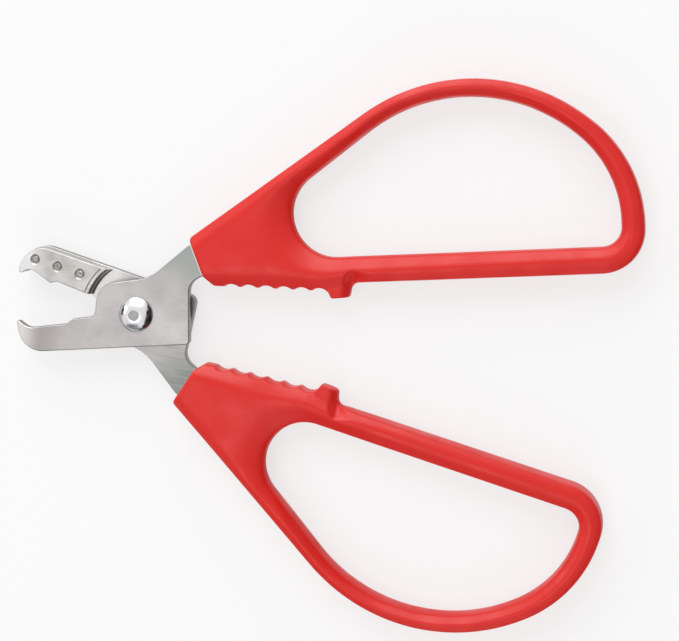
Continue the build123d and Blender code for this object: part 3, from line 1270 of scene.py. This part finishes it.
    def build(self) -> None:
        """Build the plate and dress it.

        The wall and the three recesses are rings of points, and the face between their first
        rings is cut into triangles.
        """
        recess = np.array(self.recess_steps) + [self.recess_radius, self.low]
        stacks = [self.plate_rings()] + [
            turned_rings(recess, place, self.recess_points)[:, ::-1]
            for place in self.rivet_places()
        ]
        points, faces = joined([capped(rings, below=False) for rings in stacks])
        sizes = [rings.shape[0] * rings.shape[1] for rings in stacks]
        starts = np.cumsum([0] + sizes[:-1])
        number = np.concatenate([s + np.arange(r.shape[1]) for s, r in zip(starts, stacks)])
        corners = np.array(geometry.tessellate_polygon(
            [[Vector(point) for point in rings[0].tolist()] for rings in stacks]
        ))
        a, b, c = (points[number[corners[:, k]], :2] for k in range(3))
        wrong = cross(b - a, c - a) > 0
        corners[wrong] = corners[wrong][:, ::-1]
        faces += number[corners].tolist()
        shell = (points, faces)
        add_piece("jaw_plate_face", shell, Lever.REAR, "jaw_plate", self.finish)

    def build_rivets(self) -> None:
        """Build the three rivets: a peened end in the recess and a spread foot behind."""
        profile = np.vstack([
            np.array(self.rivet_end_steps) + [0, self.low],
            np.array(self.rivet_foot_steps) + [0, self.blade_high],
        ])
        shell = joined([
            capped(turned_rings(profile, place, self.rivet_points))
            for place in self.rivet_places()
        ])
        add_piece(
            "jaw_plate_rivet_ends", shell, Lever.REAR, "jaw_plate_rivets",
            self.rivet_finish,
        )


@dataclass
class Pivot:
    """The pin with its head behind the levers, and the domed washer it is peened over."""

    pin_finish: bpy.types.Material
    dome_finish: bpy.types.Material
    blade_high: float = 2.55
    pin_radius: float = 2.5
    tenon_radius: float = 1.45
    tenon_height: float = 0.079
    # The peened end: rows of radius from the tenon's, and of height from the top.
    tenon_steps: Rows = ((0.0, -0.16), (-0.04, -0.06), (-0.14, -0.01), (-0.35, 0.0))
    tenon_middle: tuple[float, float] = (0.3, -0.02)
    dome_radius: float = 4.7
    dome_height: float = 2.2
    dome_rim: float = 0.45
    # The rim's lower and upper corner: rows from the dome's radius and from each corner.
    rim_low_steps: Rows = ((-0.1, 0.0), (-0.02, 0.03), (0.0, 0.1))
    rim_high_steps: Rows = ((0.0, -0.1), (-0.03, 0.0))
    cap_inset: float = 0.12
    cap_rings: int = 26
    # The hole that the tenon fills: rows from the tenon's radius and from the dome's top.
    hole_steps: Rows = ((-0.02, -0.03), (-0.02, -0.4))
    head_top: float = -2.6
    # Rows of radius, and of height from the top of the head.
    head_steps: Rows = (
        (0.4, -1.5), (2.2, -1.47), (3.4, -1.36), (3.95, -1.18), (4.2, -0.98), (4.3, -0.75),
        (4.3, -0.06), (4.24, 0.0), (2.5, 0.0),
    )
    dome_points: int = 128
    pin_points: int = 96

    def build_dome(self) -> None:
        """Build the domed washer.

        From the tenon's radius t to the dome's R the cap falls from the top to the rim's by
        ((r - t) / (R - t))^2 of their difference.
        """
        high, top = self.blade_high + self.dome_rim, self.blade_high + self.dome_height
        outermost = self.dome_radius - self.cap_inset
        span = self.dome_radius - self.tenon_radius
        radius = np.linspace(outermost, self.tenon_radius, self.cap_rings)
        cap = top - (top - high) * (radius - self.tenon_radius) ** 2 / span**2
        profile = np.vstack([
            (self.tenon_radius, self.blade_high),
            np.array(self.rim_low_steps) + [self.dome_radius, self.blade_high],
            np.array(self.rim_high_steps) + [self.dome_radius, high],
            np.column_stack([radius, cap]),
            np.array(self.hole_steps) + [self.tenon_radius, top],
        ])
        rings = turned_rings(profile, np.zeros(2), self.dome_points)
        shell = rings.reshape(-1, 3), ring_faces(len(rings), self.dome_points, closed=True)
        add_piece(
            "pivot_dome", shell, Lever.FRONT, "dome_washer", self.dome_finish
        )

    def build_pin(self) -> None:
        """Build the pin: slightly domed head behind, shank and peened end in the dome."""
        top = self.blade_high + self.dome_height + self.tenon_height
        profile = np.vstack([
            np.array(self.head_steps) + [0, self.head_top],
            (self.pin_radius, self.blade_high),
            (self.tenon_radius, self.blade_high),
            np.array(self.tenon_steps) + [self.tenon_radius, top],
            np.array(self.tenon_middle) + [0, top],
        ])
        shell = capped(turned_rings(profile, np.zeros(2), self.pin_points))
        add_piece(
            "pivot_pin_turning", shell, Lever.FRONT, "pivot_pin", self.pin_finish
        )


# The studio


@dataclass(frozen=True)
class SoftBox:
    """A round soft lamp: its direction, distance and width in metres, and how much light it
    gives to a level white surface. A plain fill lamp isn't mirrored.
    """

    name: str
    towards: tuple[float, float, float]
    distance: float
    width: float
    share: float
    mirrored: bool = True


@dataclass(frozen=True)
class DarkCard:
    """A dark bent card that only mirrors show, so that bright metal has dark lines. It stands
    round the pliers between two azimuths, as high as an elevation in its middle, in degrees.
    """

    name: str
    azimuths: tuple[float, float]
    elevations: tuple[float, float]
    distance: float
    grey: str
    points: int = 33


@dataclass
class Studio:
    """Pale floor, soft light from above and both sides, and the photograph's view."""

    eye: tuple[float, float, float] = (77.07, 60.52, 387.10)
    aim: tuple[float, float, float] = (7.11, 5.85, 4.5)
    upright: tuple[float, float, float] = (-0.140, 0.983, -0.115)
    lens: float = 79.53
    sensor: float = 36.0
    clip: tuple[float, float] = (0.01, 20.0)
    lamps: tuple[SoftBox, ...] = (
        SoftBox("soft_key", (-0.25, 0.8, 0.45), 1.0, 1.1, 0.37),
        SoftBox("soft_top", (-0.15, -0.32, 0.93), 1.0, 0.5, 0.085),
        SoftBox("soft_left", (-0.9, 0.15, 0.45), 1.0, 0.45, 0.05),
        SoftBox("soft_fill", (0.15, -0.9, 0.25), 1.0, 0.9, 0.10, False),
    )
    cards: tuple[DarkCard, ...] = (
        DarkCard("dark_card_right", (-95.0, 75.0), (0.3, 46.0), 0.7, "#1A1A1A"),
        DarkCard("dark_card_front", (-140.0, -80.0), (0.3, 45.0), 0.8, "#8E8E8E"),
        DarkCard("dark_card_left", (158.0, 196.0), (0.3, 23.0), 0.7, "#2A2A2A"),
    )
    room_share: float = 0.43
    floor_size: float = 6.0
    floor_colour: str = "#F7F7F7"
    floor_light: str = "#CFCFCF"
    floor_glow: float = 0.7
    paper_grain: float = 2.0
    paper_depth: float = 0.005

    def build(self) -> None:
        """Set the floor, the room, the lamps, the cards and the camera."""
        bpy.context.scene.view_settings.view_transform = "Standard"
        self.build_floor()
        self.build_room()
        for lamp in self.lamps:
            self.build_lamp(lamp)
        for card in self.cards:
            self.build_card(card)
        self.build_camera()

    def seen(self, tree: bpy.types.NodeTree, low: float, high: float) -> Socket:
        """Give one value to what is seen, also in mirrors and through glass, and one to light.

        Args:
            tree: the tree that it goes into.
            low: the value for light.
            high: the value for what is seen.

        Returns:
            The socket with the value.
        """
        rays = add_node(tree, "ShaderNodeLightPath").outputs
        share = rays["Is Camera Ray"]
        for kind in ("Is Glossy Ray", "Is Transmission Ray"):
            share = add_node(
                tree, "ShaderNodeMath", {"operation": "MAXIMUM"}, {0: share, 1: rays[kind]}
            ).outputs[0]
        return add_node(
            tree, "ShaderNodeMapRange", {"To Min": low, "To Max": high}, {"Value": share}
        ).outputs["Result"]

    def build_floor(self) -> None:
        """Lay the floor under the pliers.

        It is white paper that glows a little where it is seen, so that the ground is nearly
        white and still has the pliers' shadow. It throws less light back up than it shows.
        """
        half = self.floor_size / 2
        corners = [(-half, -half, 0), (half, -half, 0), (half, half, 0), (-half, half, 0)]
        mesh = bpy.data.meshes.new("studio_floor")
        mesh.from_pydata(corners, [], [[0, 1, 2, 3]])
        material, tree = new_material("matt_white_paper")
        place = add_node(tree, "ShaderNodeTexCoord").outputs["Object"]
        tooth = add_node(
            tree, "ShaderNodeTexNoise", {"Scale": cells(self.paper_grain), "Detail": 2.0},
            {"Vector": place},
        ).outputs["Fac"]
        bump = add_node(
            tree, "ShaderNodeBump", {"Distance": self.paper_depth * MM}, {"Height": tooth}
        ).outputs["Normal"]
        tint = add_node(
            tree, "ShaderNodeMixRGB",
            {"Color1": linear(self.floor_light), "Color2": linear(self.floor_colour)},
            {"Fac": self.seen(tree, 0.0, 1.0)},
        ).outputs["Color"]
        paper = add_node(
            tree, "ShaderNodeBsdfDiffuse", None, {"Color": tint, "Normal": bump}
        ).outputs["BSDF"]
        glow = add_node(tree, "ShaderNodeEmission").outputs["Emission"]
        share = self.seen(tree, 0.0, self.floor_glow)
        both = add_node(tree, "ShaderNodeMixShader", None, {0: share, 1: paper, 2: glow})
        add_node(tree, "ShaderNodeOutputMaterial", None, {"Surface": both.outputs["Shader"]})
        mesh.materials.append(material)
        put("studio_floor", mesh)

    def build_room(self) -> None:
        """Light the room evenly, and show it white to the camera and to mirrors."""
        world = bpy.data.worlds.new("white_room")
        world.use_nodes = True
        tree = world.node_tree
        tree.nodes.clear()
        level = self.seen(tree, self.room_share, 1.0)
        glow = add_node(
            tree, "ShaderNodeBackground", {"Color": (1.0, 1.0, 1.0, 1.0)}, {"Strength": level}
        )
        add_node(tree, "ShaderNodeOutputWorld", None, {"Surface": glow.outputs["Background"]})
        bpy.context.scene.world = world

    def build_lamp(self, box: SoftBox) -> None:
        """Hang a lamp, turned to the pliers.

        A round lamp of power P at the distance d lights a matt white surface that faces it
        to P / (pi^2 d^2), so the power is the wanted share times pi^2 d^2 over the slant.

        Args:
            box: the lamp.
        """
        towards = Vector(box.towards).normalized()
        lamp = bpy.data.lights.new(box.name, "AREA")
        lamp.shape = "DISK"
        lamp.size = box.width
        lamp.energy = box.share * (np.pi * box.distance) ** 2 / towards.z
        holder = put(box.name, lamp)
        holder.matrix_world = Matrix.Translation(towards * box.distance) @ (
            towards.to_track_quat("Z", "Y").to_matrix().to_4x4()
        )
        holder.visible_glossy = box.mirrored

    def build_card(self, card: DarkCard) -> None:
        """Stand a dark card up.

        At the azimuth a its place is (d cos a, d sin a, d tan e). The lower edge has the low
        elevation, and the upper one rises from it to the high elevation and back along a
        sine arch.

        Args:
            card: the card.
        """
        share = np.linspace(0, 1, card.points)
        angle = np.radians(card.azimuths[0] + share * np.diff(card.azimuths))
        low, high = np.tan(np.radians(card.elevations))
        ring = np.stack([np.cos(angle), np.sin(angle)])
        heights = [np.full(card.points, low), low + (high - low) * np.sin(np.pi * share)]
        points = np.vstack([np.vstack([ring, height]).T for height in heights])
        mesh = bpy.data.meshes.new(card.name)
        quads = ring_faces(2, card.points)[:-1]
        mesh.from_pydata((points * card.distance).tolist(), [], quads)
        material, tree = new_material(f"matt_card_{card.name}")
        shade = add_node(tree, "ShaderNodeEmission", {"Color": linear(card.grey)})
        add_node(tree, "ShaderNodeOutputMaterial", None, {"Surface": shade.outputs["Emission"]})
        mesh.materials.append(material)
        holder = put(card.name, mesh)
        holder.visible_camera = holder.visible_diffuse = holder.visible_shadow = False

    def build_camera(self) -> None:
        """Stand the camera where the photograph was taken from."""
        camera = bpy.data.cameras.new("photo_view")
        camera.lens, camera.sensor_width = self.lens, self.sensor
        camera.sensor_fit = "HORIZONTAL"
        camera.clip_start, camera.clip_end = self.clip
        eye, aim = Vector(self.eye) * MM, Vector(self.aim) * MM
        back = (eye - aim).normalized()
        right = Vector(self.upright).cross(back).normalized()
        turn = Matrix((right, back.cross(right), back)).transposed().to_4x4()
        holder = put("photo_view", camera)
        holder.matrix_world = Matrix.Translation(eye) @ turn
        bpy.context.scene.camera = holder


TO_JAW = (-1.0, 0.0, 0.0)
TO_FACE = (0.0, 0.0, -1.0)


def main() -> None:
    """Build every piece of the pliers and the studio."""
    logging.basicConfig(level=logging.INFO, format="%(name)s %(message)s")
    plastic = MouldedPolypropylene().material()
    # Front: painted shade on the arm towards the handle and on the jaw's middle, painted light
    # towards the jaw's tip, and a painted highlight line on the edge beside the handle.
    front_steel = SatinSteel("tumbled_steel_front", painted_tones=(
        PaintedTone((0.55, 0.835, 0.0), 11.0, 21.0, "#929591"),
        PaintedTone(TO_JAW, 17.0, 27.0, "#999392"),
        PaintedTone(TO_JAW, 26.0, 32.5, "#C8C5C3"),
        PaintedTone((0.888, 0.459, 0.0), 20.75, 20.85, "#C2BFBC"),
    )).material()
    # Rear: painted shade on the arm, a painted highlight line on the edge beside the handle,
    # painted shadow on the heel beside the front blade, painted light on the face beside the
    # boss and less of it on the jaw.
    rear_steel = SatinSteel("tumbled_steel_rear", painted_tones=(
        PaintedTone((0.55, -0.835, 0.0), 9.0, 22.0, "#7A7E79"),
        PaintedTone((0.888, -0.459, 0.0), 20.75, 20.85, "#BDBAB7"),
        PaintedTone((0.8, 0.6, 0.0), 8.0, 13.5, "#7C7976"),
        PaintedTone(TO_JAW, 3.0, 8.0, "#CDCAC9"),
        PaintedTone(TO_JAW, 12.5, 15.5, "#BAB7B5"),
    )).material()
    # Plate: a lighter grey than the blades as painted light, more painted light towards its
    # tip, painted shade on what lies deeper than its face, and a painted shadow at the foot of
    # its curved end.
    plate_steel = SatinSteel(
        "tumbled_steel_plate", colour="#C2BEBD", cloud_colour="#ADAAA6", cloud_size=4.0,
        wall_shade_colour="#C4C2C0",
        painted_tones=(
            PaintedTone(TO_JAW, 26.0, 32.0, "#D2D1D0"),
            PaintedTone(TO_FACE, -2.46, -2.2, "#8F8C84"),
            PaintedTone(TO_FACE, -1.9, -0.7, "#3A3836"),
        ),
    ).material()
    rivet_steel = SatinSteel(
        "peened_steel", colour="#ABA8A7", cloud_colour="#76736F", cloud_size=0.9,
        scratch_width=0.5, scratch_length=0.7, scratch_depth=0.04,
    ).material()
    pin_steel = SatinSteel(
        "turned_steel", colour="#A8A8A8", cloud_colour="#9A9A9A", roughness=0.5
    ).material()
    chrome = PolishedChrome().material()
    StampedLever(Lever.FRONT, "front_blade", front_steel, LOWER_JAW, edge_radius=0.38).build()
    StampedLever(Lever.REAR, "rear_blade", rear_steel, UPPER_JAW).build()
    plate = JawPlate(plate_steel, rivet_steel, UPPER_JAW)
    plate.build()
    plate.build_rivets()
    pivot = Pivot(pin_steel, chrome)
    pivot.build_dome()
    pivot.build_pin()
    MouldedHandle(Lever.FRONT, "upper_handle", plastic).build()
    MouldedHandle(Lever.REAR, "lower_handle", plastic).build()
    Studio().build()


if __name__ == "__main__":
    main()
